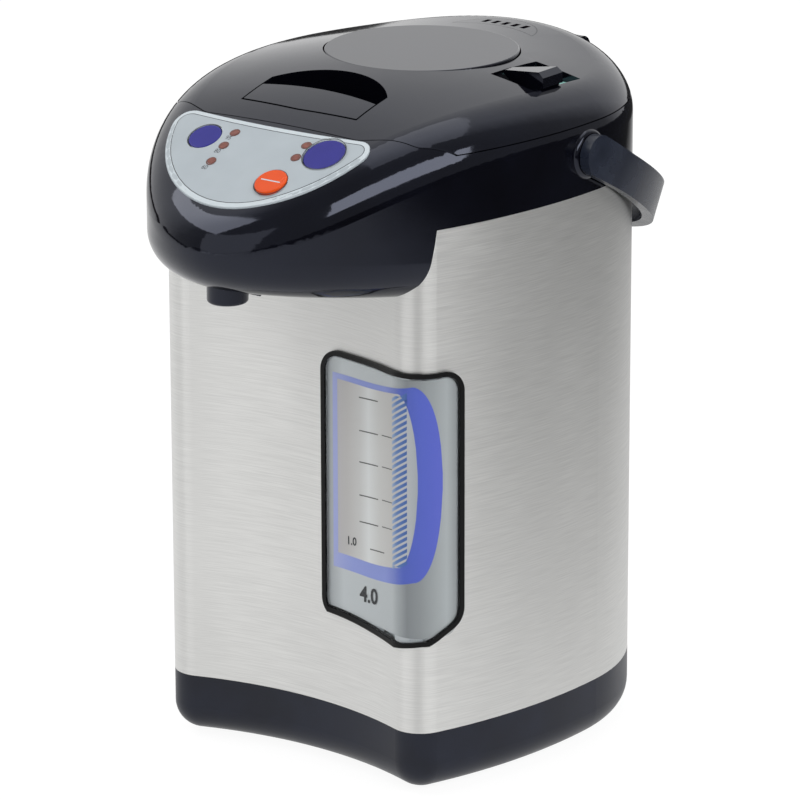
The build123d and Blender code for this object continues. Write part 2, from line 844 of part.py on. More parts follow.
def lid_cover():
    """Domed top of the lid with the wells for pump plate, finger recess and lock."""
    outer = head_form() & prism(lid_face(-seam_gap), lid_seam + seam_gap, 400)
    inner = head_form(shell_wall) & prism(lid_face(-seam_gap - shell_wall), 0, 400)
    cover = outer - inner
    core = head_form(1.0)
    cover += rod(plate_radius + plate_gap + guide_wall, 0, pot_y, guide_bottom, 400) & core
    cover += prism(finger_recess_face(recess_wall), recess_floor - recess_wall, 400) & core
    cover += prism(lock_slot_face(lock_wall), lock_floor - lock_wall, 400) & core
    cover -= prism(finger_recess_face(), recess_floor, 400)
    cover -= rod(plate_radius + plate_gap, 0, pot_y, 0, 400)
    cover -= prism(lock_slot_face(), lock_floor, 400)
    cover -= prism(vent_face(), lid_seam, 400)
    side_bore = flap_half + flap_gap + recess_wall - 0.4
    cover -= bar(latch_pin_radius, latch_y, latch_z, -side_bore, side_bore)
    cover -= bolt_slot()
    return cover - hinge_notch(hinge_y - hinge_radius - gap) + hinge_tongue()


def hinge_tongue():
    """Knuckle of the lid between the lugs of the hinge block."""
    knuckle = bar(hinge_radius - hinge_play, hinge_y, hinge_z, -knuckle_half, knuckle_half)
    arm = box(-knuckle_half, knuckle_half, tongue_y, hinge_y, hinge_z - 3.5, hinge_z + 4)
    web = box(-knuckle_half, knuckle_half, tongue_y, hinge_y - hinge_radius, hinge_z - 3.5, 400) & head_form(1.0)
    return knuckle + arm + web - bar(hinge_pin_radius + pin_gap, hinge_y, hinge_z, -30, 30)


def bolt_slot():
    """Way for the latch bolt through the recess floor and the front of the tray."""
    half, low = bolt_half + 1, tray_floor + tray_wall
    forward = box(-half, half, -120, flap_front_y, low, lid_seam + seam_gap)
    return forward + box(-half, half, flap_front_y - 2, latch_y + 6, low, recess_floor + 1.5)


def lid_tray():
    """Liner under the lid: rim, tray and the plug that reaches into the neck."""
    rim_low = lid_seam + seam_gap
    inner = prism(pocket_face(tray_clearance + tray_wall), tray_floor + tray_wall, 400)
    rim = head_form(shell_wall) & prism(lid_face(-seam_gap - shell_wall), rim_low, tray_rim_top)
    tray = prism(pocket_face(tray_clearance), tray_floor, rim_low) + rim - inner
    plug = rod(plug_radius, 0, pot_y, plug_bottom, tray_floor + 1)
    plug = fillet(plug.faces().sort_by(Axis.Z)[0].edges(), 4)
    return tray + plug - hinge_notch(tongue_y - 0.2) - bolt_slot()


def lid_gasket():
    """Silicone ring under the tray that meets the flange of the pot."""
    low = deck_top + pot_wall + seal_gap
    return sleeve(gasket_outer, gasket_inner, 0, pot_y, low, tray_floor)


def steam_vent():
    """Slotted vent plate at the back of the lid."""
    plate = (head_form() - head_form(shell_wall)) & prism(vent_face(-0.2), lid_seam, 400)
    plate += (head_form(shell_wall) - head_form(shell_wall + 1.2)) & prism(vent_face(1.5), lid_seam, 400)
    pitch = vent_half * 1.2 / vent_slots
    for index in range(vent_slots):
        x = (index - (vent_slots - 1) / 2) * pitch
        width = pitch * 0.25
        plate -= box(x - width, x + width, vent_front_y + 9, vent_back_y - 6, 300, 400)
    return plate


def hinge_block():
    """Bracket on the back of the collar with two lugs for the hinge pin."""
    back = pocket_back_y()
    foot = polygon((hinge_foot_y, deck_top), (hinge_foot_y, lid_seam - 4), (hinge_y - hinge_radius, hinge_z),
                   (hinge_y + hinge_radius, hinge_z), (back + 4, lid_seam), (back, lid_seam), (back, deck_top))
    block = side_prism(foot, -hinge_half, hinge_half)
    block += bar(hinge_radius, hinge_y, hinge_z, -hinge_half, hinge_half)
    block -= box(-knuckle_half - gap, knuckle_half + gap, 80, 140, lid_seam, 400)
    block -= box(-knuckle_half - gap, knuckle_half + gap, 80, back - 4, lid_seam - 5, 400)
    block -= below(lid_seam) - prism(pocket_face(), 0, 400)
    return block - bar(hinge_pin_radius, hinge_y, hinge_z, -30, 30)


def pocket_back_y():
    return pocket_face().bounding_box().max.Y


def hinge_pin():
    return bar(hinge_pin_radius, hinge_y, hinge_z, -hinge_half + 1, hinge_half - 1)


# ================================================================ pump parts
def pump_plate():
    """Round press plate with a skirt and a centring boss for the spring."""
    plate = rod(plate_radius, 0, pot_y, plate_top - plate_skirt, plate_top)
    plate = fillet(plate.faces().sort_by(Axis.Z)[-1].edges(), 0.8)
    plate -= rod(plate_radius - plate_wall, 0, pot_y, 0, plate_top - plate_thickness)
    low = plate_top - plate_thickness - 3
    return plate + rod(coil_radius - coil_width / 2 - 1, 0, pot_y, low, plate_top - 1)


def pump_bellows():
    """Folded rubber bellows between plate and tray."""
    low, high = tray_floor + tray_wall, plate_top - plate_thickness
    fold = (high - low) / (2 * bellows_folds)
    outer = [(bellows_radius - bellows_fold * (index % 2), low + index * fold)
             for index in range(2 * bellows_folds + 1)]
    inner = [(radius - bellows_wall, height) for radius, height in reversed(outer)]
    return Pos(0, pot_y, 0) * revolve(Plane.XZ * polygon(*outer, *inner), Axis.Z)


def pump_spring():
    """Coil spring of flat wire that lifts the plate."""
    low, high = tray_floor + tray_wall + coil_height / 2, plate_top - plate_thickness - coil_height / 2
    path = Helix((high - low) / coil_turns, high - low, coil_radius)
    start = Plane(path @ 0, x_dir=(1, 0, 0), z_dir=path % 0)
    wire = sweep(start * Rectangle(coil_width, coil_height), path, is_frenet=True)
    return Pos(0, pot_y, low) * wire


# ================================================================= pump lock
def lock_indicator():
    """Coloured plate on the floor of the lock's slot."""
    return box(lock_outer - 13, lock_outer - 0.5, lock_back - 15, lock_back - 0.5, lock_floor, lock_floor + 0.5)


def pump_lock():
    """Slide with a wedge-shaped knob."""
    low = lock_floor + lock_foot_gap
    foot = box(lock_inner + slide_gap, lock_outer - slide_gap, lock_front + slide_gap,
               lock_front + slide_gap + lock_foot_length, low, low + lock_foot_height)
    inner, outer = lock_inner + 0.5, lock_outer + 1.4
    plan = polygon((inner, knob_y - knob_tip_half), (outer, knob_y - knob_end_half),
                   (outer, knob_y + knob_end_half), (inner, knob_y + knob_tip_half))
    top = lock_floor + 10
    heel, overhang = lock_outer - slide_gap, low + knob_overhang
    side = polygon((inner, top - 0.6), (outer - 3, top + 2.4), (outer, top), (outer, overhang),
                   (heel, overhang), (heel, low), (lock_outer - 14, low), (inner, top - 2))
    return foot + (prism(plan, low, 400) & Pos(0, 40, 0) * extrude(Plane.XZ * side, 80))


# ================================================================= lid latch
def flap_face():
    """Plan of the latch flap."""
    front, back = flap_front_y, flap_back_y
    return closed_face((
        Line((0, front), (flap_half, front + 1.5)),
        Line((flap_half, front + 1.5), (flap_half, back - flap_bow)),
        ThreePointArc((flap_half, back - flap_bow), (flap_half / 2, back - flap_bow / 4), (0, back))))


def latch_lever():
    """Flap of the lid latch, hinged near its front edge."""
    flap = (head_form() - head_form(flap_thickness)) & prism(flap_face(), 300, 400)
    ears = both(box(flap_half - latch_ear, flap_half, latch_y - 0.8, latch_y + 4, latch_z - 2, 400))
    ears += both(box(0, bolt_half, latch_y - 1.5, latch_y + 4, latch_z - 1.5, 400))
    pins = bar(latch_pin_radius - pin_gap, latch_y, latch_z, flap_half - 1, flap_half + flap_gap + 1)
    return flap + (ears & head_form(1.0)) + both(pins)


def latch_bolt():
    """Bolt that swings with the flap and reaches the front wall of the collar."""
    outline = polygon((latch_y + 4, latch_z - 1.5), (latch_y - 1.5, latch_z - 1.5),
                      (latch_y - 4, bolt_nose_high), (bolt_nose_y, bolt_nose_high),
                      (bolt_nose_y, bolt_nose_low), (latch_y - 1, bolt_nose_low))
    return side_prism(outline, -bolt_half, bolt_half)


# ================================================================ bail handle
def bail_face(side, reach):
    """Arch of the bail in its own plane, with its legs running on past the hubs."""
    foot = -2 * bail_hub_radius
    return closed_face((
        Line((0, foot), (side, foot)),
        Line((side, foot), (side, 0)),
        Bezier((side, 0), (side, reach * bail_pull), (side * bail_pull, reach), (0, reach))))


def bail_strap(outer, inner):
    """Upright band of the bail between two depths from its outer face at arms and grip."""
    rim = bail_face(bail_outer - outer[0], bail_reach - outer[1])
    hole = bail_face(bail_outer - inner[0], bail_reach - inner[1])
    return extrude(rim - hole, bail_hub_radius, both=True)


def bail_side(shrink):
    """Side view of the bail: round hub, tapered arm, level cross-bar."""
    arm, grip = bail_arm_half - shrink, bail_grip_half - shrink
    hub = bail_hub_radius - shrink
    upper = [(0, hub), (bail_straight, arm), (bail_reach + 1, grip)]
    lower = [(y, -z) for y, z in reversed(upper)]
    return polygon(*upper, *lower) + Circle(hub)


def bail_handle():
    """Carrying bail: arched channel open towards the pot, with pins in the bosses."""
    strap = bail_strap((0, 0), (bail_thickness, bail_grip_thickness))
    channel = bail_strap((bail_wall, bail_wall), (bail_thickness + 4, bail_grip_thickness + 4))
    hollow = side_prism(bail_side(bail_wall), -bail_outer, bail_outer)
    hollow -= box(-bail_outer, bail_outer, -60, bail_hub_radius + 4, -60, 60)
    bail = (strap & side_prism(bail_side(0), -bail_outer, bail_outer)) - (channel & hollow)
    pin = bar(bail_pin_radius - pin_gap, 0, 0, bail_pin_reach, bail_outer - bail_thickness / 2)
    return Pos(0, bail_y, bail_z) * Rot(-bail_droop, 0, 0) * (bail + both(pin))


# ==================================================================== output
nodes = {
    "base_shell": base_shell,
    "foot_ring": foot_ring,
    "bottom_plate": bottom_plate,
    "bottom_screws": bottom_screws,
    "power_inlet": power_inlet,
    "steel_shell": steel_shell,
    "gauge_frame": gauge_frame,
    "gauge_lens": gauge_lens,
    "gauge_plate": gauge_plate,
    "level_tube": level_tube,
    "inner_pot": inner_pot,
    "heater_plate": heater_plate,
    "thermostats": thermostats,
    "warming_band": warming_band,
    "pump_motor": pump_motor,
    "pump_housing": pump_housing,
    "inlet_hose": inlet_hose,
    "outlet_hose": outlet_hose,
    "spout_pipe": spout_pipe,
    "power_board": power_board,
    "shoulder_collar": shoulder_collar,
    "control_panel": control_panel,
    "indicator_lenses": indicator_lenses,
    "panel_board": panel_board,
    "chin_cover": chin_cover,
    "spout_nozzle": spout_nozzle,
    "cup_lever": cup_lever,
    "hinge_block": hinge_block,
    "hinge_pin": hinge_pin,
    "lid_cover": lid_cover,
    "lid_tray": lid_tray,
    "lid_gasket": lid_gasket,
    "steam_vent": steam_vent,
    "pump_plate": pump_plate,
    "pump_bellows": pump_bellows,
    "pump_spring": pump_spring,
    "lock_indicator": lock_indicator,
    "pump_lock": pump_lock,
    "latch_lever": latch_lever,
    "latch_bolt": latch_bolt,
    "bail_handle": bail_handle,
}

os.makedirs("parts", exist_ok=True)
for name, maker in nodes.items():
    export_step(maker(), f"parts/{name}.step")
export_step(key(dispense_key_at, dispense_key_radius), "parts/dispense_key.step")
export_step(key(temperature_key_at, temperature_key_radius), "parts/temperature_key.step")
export_step(key(reboil_key_at, reboil_key_radius), "parts/reboil_key.step")
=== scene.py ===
# Electric thermo pot: brushed steel body, black beaked head, key panel, gauge.
# Metres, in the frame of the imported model: +Z up, the spout towards -Y.
import math

import bmesh
import bpy
from mathutils import Matrix, Vector
from mathutils.bvhtree import BVHTree


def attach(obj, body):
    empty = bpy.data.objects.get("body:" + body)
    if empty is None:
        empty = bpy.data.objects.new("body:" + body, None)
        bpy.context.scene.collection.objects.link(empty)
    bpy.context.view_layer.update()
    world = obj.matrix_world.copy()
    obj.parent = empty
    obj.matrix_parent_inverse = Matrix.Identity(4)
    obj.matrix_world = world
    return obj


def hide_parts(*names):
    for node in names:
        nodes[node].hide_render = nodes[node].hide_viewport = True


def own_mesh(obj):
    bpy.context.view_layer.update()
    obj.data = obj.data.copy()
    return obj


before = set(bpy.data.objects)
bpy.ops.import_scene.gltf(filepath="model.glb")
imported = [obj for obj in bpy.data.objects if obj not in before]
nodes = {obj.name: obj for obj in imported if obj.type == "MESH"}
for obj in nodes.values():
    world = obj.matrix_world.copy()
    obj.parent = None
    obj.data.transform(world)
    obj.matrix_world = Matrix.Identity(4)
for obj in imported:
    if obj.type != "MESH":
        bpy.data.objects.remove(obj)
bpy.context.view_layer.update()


# ------------------------------------------------------------------ base
# The base is a skirt of dark blue-black ABS, moulded with a fine satin grain.
# A rubber foot ring lies in a groove of its underside, a screwed plate closes
# its floor, and the steel sleeve is slipped over a spigot on its top edge.
mm = 0.001


def linear(code):
    """Linear colour of an sRGB hex code."""
    channels = [int(code[i:i + 2], 16) / 255 for i in (0, 2, 4)]
    return [c / 12.92 if c <= 0.04045 else ((c + 0.055) / 1.055) ** 2.4 for c in channels] + [1.0]


def grey(value):
    """Linear grey of a value from 0 to 1."""
    return [value, value, value, 1.0]


def add(tree, kind, inputs=None, stops=(), **settings):
    """Add a node: inputs that are sockets are linked, others set; stops are those of a colour ramp."""
    made = tree.nodes.new(kind)
    for name, value in settings.items():
        setattr(made, name, value)
    for name, value in (inputs or {}).items():
        if isinstance(value, bpy.types.NodeSocket):
            tree.links.new(value, made.inputs[name])
        else:
            made.inputs[name].default_value = value
    for _ in stops[2:]:
        made.color_ramp.elements.new(0.5)
    for number, (position, colour) in enumerate(stops):
        made.color_ramp.elements[number].position = position
        made.color_ramp.elements[number].color = colour
    return made


def grains(tree, size, detail=3.0, stretch=(1, 1, 1)):
    """Noise in object coordinates, with patches of a size in millimetres."""
    place = add(tree, "ShaderNodeTexCoord")
    mapped = add(tree, "ShaderNodeMapping", {"Vector": place.outputs["Object"], "Scale": stretch})
    noise = add(tree, "ShaderNodeTexNoise", {
        "Vector": mapped.outputs["Vector"], "Scale": 1 / (size * mm), "Detail": detail})
    return noise.outputs[0]


def blank(name):
    """New material, its node tree and its principled shader."""
    made = bpy.data.materials.new(name)
    made.use_nodes = True
    return made, made.node_tree, made.node_tree.nodes["Principled BSDF"]


def surface(name, dark, light, rough, patch, bump, grain, **extra):
    """Finish whose colour and roughness drift over patches, with a fine grain, both in millimetres."""
    made, tree, shader = blank(name)
    drift = grains(tree, patch)
    colour = add(tree, "ShaderNodeValToRGB", {"Fac": drift},
                 ((0.35, linear(dark)), (0.65, linear(light))))
    polish = add(tree, "ShaderNodeValToRGB", {"Fac": drift},
                 ((0.3, grey(rough[0])), (0.7, grey(rough[1]))))
    relief = add(tree, "ShaderNodeBump", {
        "Height": grains(tree, grain, 2.0), "Strength": bump, "Distance": 0.1 * mm})
    tree.links.new(colour.outputs["Color"], shader.inputs["Base Color"])
    tree.links.new(polish.outputs["Color"], shader.inputs["Roughness"])
    tree.links.new(relief.outputs["Normal"], shader.inputs["Normal"])
    for key, value in extra.items():
        shader.inputs[key.replace("_", " ")].default_value = value
    return made


def dress(material, *names):
    """Give CAD nodes their material."""
    for name in names:
        nodes[name].data.materials[0] = material


# Moulded ABS with a spark-eroded grain: soft, broad highlights.
satin_abs = surface("satin navy ABS", "121624", "181d2d", (0.30, 0.38), 25, 0.25, 0.3846,
                    Specular_IOR_Level=0.35)
dress(satin_abs, "base_shell", "bottom_plate")
# Moulded rubber, nearly matt.
foot_rubber = surface("black foot rubber", "101012", "191a1c", (0.7, 0.85), 3.333, 0.5, 0.5556)
dress(foot_rubber, "foot_ring")
# Bright zinc plating with a mottled lustre.
zinc_steel = surface("zinc-plated steel", "8d9094", "b4b7ba", (0.25, 0.4), 1.111, 0.2, 0.3333,
                     Metallic=1.0)
dress(zinc_steel, "bottom_screws")

# -------------------------------------------------- works under the pot
# A cast heater with two thermostats is clamped under the water pot. The pump
# stands on its motor, the power board on posts of the floor plate, and silicone
# hoses join the pot to the pump, the level tube and the nozzle.

# A rough casting: grey and dull, with a broad sheen.
cast_aluminium = surface("cast aluminium", "8b8c8d", "a3a4a5", (0.45, 0.6), 2.5, 0.4, 1.111, Metallic=1.0)
dress(cast_aluminium, "heater_plate")
# Baked paint on pressed steel: even, with a soft gloss.
motor_paint = surface("grey motor paint", "5b5d60", "6d6f72", (0.35, 0.45), 5, 0.2, 0.6667)
dress(motor_paint, "pump_motor", "thermostats")
# Moulded polypropylene without dye: off-white and waxy.
inner_resin = surface("natural polypropylene", "cbcac4", "d2d1cb", (0.4, 0.5), 16.67, 0.2, 0.6667)
dress(inner_resin, "pump_housing")
# Glass-cloth laminate under lacquer: deep green, faintly mottled.
board_laminate = surface("green board laminate", "1d5a36", "256b41", (0.35, 0.5), 2, 0.2, 0.8333)
dress(board_laminate, "power_board")
# Extruded silicone, milky and soft to the eye.
silicone = surface("milky silicone", "bdbab0", "cbc8be", (0.45, 0.6), 11.11, 0.2, 0.8333)
dress(silicone, "inlet_hose", "outlet_hose", "spout_pipe")


# ------------------------------------------------ water pot and its band
# The water pot is drawn and spun from stainless steel and hangs by its flange;
# a keep-warm heater of mica, faced with foil, is clamped around its wall.
def brushed_steel(name, dark, light, rough, line):
    """Steel with level lines of a spacing in millimetres, which draw its highlights upright."""
    made, tree, shader = blank(name)
    hair = grains(tree, line, 4.0, (0.02, 0.02, 1.0))
    cloud = grains(tree, 71.43, 2.0, (1, 1, 0.5))
    both = add(tree, "ShaderNodeMix", {"Factor": 0.35, "A": hair, "B": cloud})
    colour = add(tree, "ShaderNodeValToRGB", {"Fac": both.outputs["Result"]},
                 ((0.35, linear(dark)), (0.65, linear(light))))
    polish = add(tree, "ShaderNodeValToRGB", {"Fac": hair},
                 ((0.3, grey(rough[0])), (0.7, grey(rough[1]))))
    relief = add(tree, "ShaderNodeBump", {"Height": hair, "Strength": 0.25, "Distance": 0.05 * mm})
    around = add(tree, "ShaderNodeTangent", direction_type="RADIAL", axis="Z")
    tree.links.new(colour.outputs["Color"], shader.inputs["Base Color"])
    tree.links.new(polish.outputs["Color"], shader.inputs["Roughness"])
    tree.links.new(relief.outputs["Normal"], shader.inputs["Normal"])
    tree.links.new(around.outputs["Tangent"], shader.inputs["Tangent"])
    shader.inputs["Metallic"].default_value = 1.0
    shader.inputs["Anisotropic"].default_value = 0.75
    shader.inputs["Anisotropic Rotation"].default_value = 0.25
    return made


# Spun steel: fine level lines, and a clearer mirror than brushed sheet.
pot_steel = brushed_steel("spun stainless steel", "a9aaa9", "c6c7c6", (0.18, 0.28), 0.3125)
dress(pot_steel, "inner_pot")
# Mica under thin crumpled foil: brown, with a broken sheen.
mica_band = surface("foil-faced mica band", "857252", "9a8663", (0.4, 0.6), 5, 0.4, 1.429)
dress(mica_band, "warming_band")

# ----------------------------------------------------------- steel sleeve
# The sleeve is 0.8 mm stainless steel, rolled round the plan of the pot and
# brushed along its length of roll, so the lines run level around the body and
# its highlights stand upright. The mains inlet is set in its back.

# The lines are drawn coarser than real brushing, or they wouldn't show.
sleeve_steel = brushed_steel("brushed stainless steel", "dcdcda", "efefed", (0.36, 0.44), 0.3846)
dress(sleeve_steel, "steel_shell")
dress(satin_abs, "power_inlet")

# ------------------------------------------------------------ level gauge
# A black rim holds a clear acrylic cover over a silver plate; behind a slot
# of the plate stands the glass level tube that fills as the pot fills.

# Moulded ABS, polished: near black, with small sharp reflections.
rim_abs = surface("black gauge rim", "030304", "060607", (0.15, 0.22), 10, 0.05, 0.6667,
                  Specular_IOR_Level=0.2)
dress(rim_abs, "gauge_frame")
# Silver ink under a clear coat: pale and even.
gauge_silver = surface("silver printed plate", "b9bcbc", "cfd2d2", (0.25, 0.35), 16.67, 0.05, 0.6667)
dress(gauge_silver, "gauge_plate")


def clear_sheet(name, tint):
    """Thin clear plastic or glass: see-through, with a faint reflection on its outer face only."""
    made, tree, shader = blank(name)
    tree.nodes.remove(shader)
    polish = add(tree, "ShaderNodeValToRGB", {"Fac": grains(tree, 20)},
                 ((0.3, grey(0.03)), (0.7, grey(0.06))))
    through = add(tree, "ShaderNodeBsdfTransparent", {"Color": linear(tint)})
    gloss = add(tree, "ShaderNodeBsdfGlossy", {
        "Color": grey(1.0), "Roughness": polish.outputs["Color"]})
    rim = add(tree, "ShaderNodeFresnel", {"IOR": 1.45})
    side = add(tree, "ShaderNodeNewGeometry")
    # Held under half, and to nothing from inside, so that what lies behind stays clear.
    kept_gloss = 0.45
    outer = add(tree, "ShaderNodeMath", {0: kept_gloss, 1: side.outputs["Backfacing"]},
                operation="SUBTRACT", use_clamp=True)
    gleam = add(tree, "ShaderNodeMath", {0: rim.outputs["Fac"], 1: outer.outputs["Value"]},
                operation="MULTIPLY")
    mix = add(tree, "ShaderNodeMixShader", {
        "Fac": gleam.outputs["Value"], 1: through.outputs["BSDF"], 2: gloss.outputs["BSDF"]})
    tree.links.new(mix.outputs["Shader"], tree.nodes["Material Output"].inputs["Surface"])
    return made


dress(clear_sheet("clear acrylic", "f4f6f8"), "gauge_lens")
dress(clear_sheet("clear glass tube", "e4ecee"), "level_tube")

# The print lies on the back of the clear cover, bent with it round the front
# corner of the pot: a silver ground, a blue D, the scale's window with its
# ticks, and a hatched strip in front of the level tube. All is laid out in
# millimetres along the body's plan from its middle, and in height.
hollow_y = -86.67
plan_arcs = ((182.65, -19.5), (14.56, 88.09), (271.38, 22.6))


def on_body(along, height, lift):
    """Point on the body's plan at a distance along it, moved out by lift."""
    x, y, heading = 0.0, hollow_y, 0.0
    for radius, turn in plan_arcs:
        side = math.copysign(radius, turn)
        bend = min(max(along, 0.0), abs(math.radians(turn)) * radius) / side
        x += side * (math.sin(heading + bend) - math.sin(heading))
        y += side * (math.cos(heading) - math.cos(heading + bend))
        heading += bend
        along -= abs(bend * radius)
    return Vector((x + lift * math.sin(heading), y - lift * math.cos(heading), height)) * mm


def finished(name, mesh, material, body="pot"):
    """Object from a bmesh, with its material, riding on a body."""
    data = bpy.data.meshes.new(name)
    mesh.to_mesh(data)
    mesh.free()
    made = bpy.data.objects.new(name, data)
    bpy.context.scene.collection.objects.link(made)
    data.materials.append(material)
    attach(made, body)
    return made


def printed(name, start, end, low, high, lift, material, count=48):
    """Printed patch of the gauge between two height functions, with its UV in millimetres."""
    mesh = bmesh.new()
    uv = mesh.loops.layers.uv.new("print")
    bmesh.ops.create_grid(mesh, x_segments=count, y_segments=1, size=1.0)
    flat = {}
    for vert in mesh.verts:
        along = start + (end - start) * (vert.co.x + 1) / 2
        height = low(along) if vert.co.y < 0 else high(along)
        flat[vert] = (along, height)
        vert.co = on_body(along, height, lift)
    for face in mesh.faces:
        for loop in face.loops:
            loop[uv].uv = flat[loop.vert]
    return finished(name, mesh, material)


def bow(value, start, end, rise):
    """Rise that grows as a square from start to its full value at end."""
    return rise * min(max((value - start) / (end - start), 0.0), 1.0) ** 2


def round_end(value, start, depth):
    """Share of its half height that an elliptic end keeps past start."""
    return math.sqrt(max(1.0 - (max(value - start, 0.0) / depth) ** 2, 0.0))


def edge_of_d(level, rise, start, turn, middle, depth):
    """Edge of a D-shaped print: level, then bowed by rise, then half an ellipse past turn."""
    return lambda s: (level + bow(s, start, turn, rise) if s < turn
                      else middle + (level + rise - middle) * round_end(s, turn, depth))


def print_with_painted_shade(name, metallic, *stops):
    """Printed finish with painted shade: its colour runs along the plan, over (millimetres, hex) stops.
    """
    made, tree, shader = blank(name)
    place = add(tree, "ShaderNodeUVMap", uv_map="print")
    split = add(tree, "ShaderNodeSeparateXYZ", {"Vector": place.outputs["UV"]})
    first, last = stops[0][0], stops[-1][0]
    share = add(tree, "ShaderNodeMapRange", {
        "Value": split.outputs["X"], "From Min": first, "From Max": last})
    scaled = [((at - first) / (last - first), linear(code)) for at, code in stops]
    colour = add(tree, "ShaderNodeValToRGB", {"Fac": share.outputs["Result"]}, scaled)
    polish = add(tree, "ShaderNodeValToRGB", {"Fac": grains(tree, 0.6667)},
                 ((0.3, grey(0.3)), (0.7, grey(0.36))))
    tree.links.new(colour.outputs["Color"], shader.inputs["Base Color"])
    tree.links.new(polish.outputs["Color"], shader.inputs["Roughness"])
    shader.inputs["Metallic"].default_value = metallic
    return made


# Screen inks under the bent cover, satin; their colour along the plan is painted shade and reflection,
# darker where the sheet turns away.
ground_print_and_shade = print_with_painted_shade(
    "silver gauge ground with painted shade", 0.35, (13.0, "6e7072"), (16.0, "b4b7b7"), (24.0, "d0d3d2"), (60.0, "c6c9c8"),
    (70.0, "8e9192"), (76.0, "9b9e9e"), (90.0, "c2c6c5"), (96.0, "a4a7a7"))
blue_print_and_shade = print_with_painted_shade(
    "blue gauge print with painted shade", 0.0, (17.0, "aeb4e2"), (30.0, "97a2e0"), (55.0, "8a97dc"), (68.0, "4c61c4"),
    (88.0, "5b66cf"))
window_print_and_shade = print_with_painted_shade(
    "pearl window print with painted shade", 0.0, (20.0, "c3bebd"), (27.0, "c8c3be"), (36.0, "d6d3ce"), (42.0, "e9e8e4"),
    (50.0, "d9d6d0"), (60.0, "cfcac4"), (69.5, "c4c5c6"), (76.0, "a9adb0"))
hatch_print_and_shade = print_with_painted_shade("blue hatch print with painted shade", 0.0, (60.0, "a9bcd6"), (64.0, "5f83bd"), (70.0, "3c64ac"))
tick_print = surface("grey printing ink", "54544f", "63635e", (0.35, 0.45), 5, 0.05, 0.5)
black_print = surface("black printing ink", "17181a", "222325", (0.35, 0.45), 5, 0.05, 0.5)

ground_lift, field_lift, window_lift, mark_lift, number_lift = 0.08, 0.14, 0.2, 0.26, 0.3
ground_left, ground_right, ground_low, ground_high, ground_round = 14.0, 95.5, 80.0, 207.0, 6.0


def ground_corner(s):
    """What the rounded corners take off the height of the ground."""
    inside = min(s - ground_left, ground_right - s)
    return ground_round * (1 - round_end(ground_round - inside, 0.0, ground_round))


printed("gauge_ground", ground_left, ground_right, lambda s: ground_low + ground_corner(s),
        lambda s: ground_high - ground_corner(s), ground_lift, ground_print_and_shade, 96)

# An edge of a D has its level height, the rise of its bow and the bow's start;
# its two edges share the turn, the middle height and the depth of their end.
field_span, field_lower, field_upper = (17.5, 87.75), (102.8, 5.0, 38.0), (199.4, 4.4, 35.0)
field_end = (73.0, 157.2, 14.8)
printed("blue_field", *field_span, edge_of_d(*field_lower, *field_end),
        edge_of_d(*field_upper, *field_end), field_lift, blue_print_and_shade, 72)

window_span, window_lower, window_upper = (20.6, 75.25), (110.3, 3.7, 38.0), (196.6, 2.8, 35.0)
window_end = (65.0, 156.7, 10.3)
printed("scale_window", *window_span, edge_of_d(*window_lower, *window_end),
        edge_of_d(*window_upper, *window_end), window_lift, window_print_and_shade, 64)

# The ticks climb slightly towards the tube, as the rest of the print does.
climb = 0.085
tick_heights = (191.2, 174.9, 159.4, 143.0, 129.8)
low_tick_height, tick_half, short_foot, short_top = 117.8, 0.3, 0.9, 1.4
tick_span, short_span, low_span = (35.4, 49.3), (52.3, 60.4), (43.0, 54.0)
tick_about, short_about, low_about = 42, 52, 48


def climbing(height, about):
    """Height of a printed line that passes height at a distance along the plan."""
    return lambda s: height + climb * (s - about)


for number, height in enumerate(tick_heights):
    printed(f"tick_{number}", *tick_span, climbing(height - tick_half, tick_about),
            climbing(height + tick_half, tick_about), mark_lift, tick_print, 6)
    if number:
        printed(f"short_tick_{number}", *short_span, climbing(height + short_foot, short_about),
                climbing(height + short_top, short_about), mark_lift, tick_print, 4)
printed("low_tick", *low_span, climbing(low_tick_height - tick_half, low_about),
        climbing(low_tick_height + tick_half, low_about), mark_lift, tick_print, 6)

hatch_left, hatch_right, hatch_foot, hatch_top = 60.6, 70.1, 114.2, 198.3
hatch_count, hatch_first, hatch_pitch, hatch_width, hatch_rise = 29, 110.6, 3.0, 1.75, 6.2
hatch_bow = (66, 70, 2.5)
shear = hatch_rise / (hatch_right - hatch_left)
for number in range(hatch_count):
    base = hatch_first + number * hatch_pitch
    printed(f"hatch_{number}", hatch_left, hatch_right,
            lambda s: max(base + shear * (s - hatch_left), hatch_foot + bow(s, *hatch_bow)),
            lambda s: min(base + hatch_width + shear * (s - hatch_left),
                          hatch_top - bow(s, *hatch_bow)),
            mark_lift, hatch_print_and_shade, 8)

# A font's digits stand this share of its size high.
digit_share = 0.7


def numeral(name, words, height, place, material, weight=0.0):
    """Printed numerals: a text made into a mesh, laid on a surface point by point."""
    curve = bpy.data.curves.new(name, "FONT")
    curve.body = words
    curve.size = height / digit_share
    curve.align_x, curve.align_y = "CENTER", "CENTER"
    curve.resolution_u = 3
    curve.offset = weight
    text = bpy.data.objects.new(name, curve)
    bpy.context.scene.collection.objects.link(text)
    data = bpy.data.meshes.new_from_object(text.evaluated_get(bpy.context.evaluated_depsgraph_get()))
    bpy.data.objects.remove(text)
    mesh = bmesh.new()
    mesh.from_mesh(data)
    bpy.data.meshes.remove(data)
    bmesh.ops.triangulate(mesh, faces=mesh.faces)
    for vert in mesh.verts:
        vert.co = place(vert.co.x, vert.co.y)
    return finished(name, mesh, material)


# Litre marks: words, height of the digits, extra weight, place along and up.
for name, words, height, weight, along, up in (("low_mark", "1.0", 4.0, 0.12, 29.8, 117.9),
                                               ("full_mark", "4.0", 7.6, 0.25, 42.0, 93.6)):
    numeral(name, words, height, lambda u, v: on_body(along + u, up + v + climb * u, number_lift),
            black_print, weight)

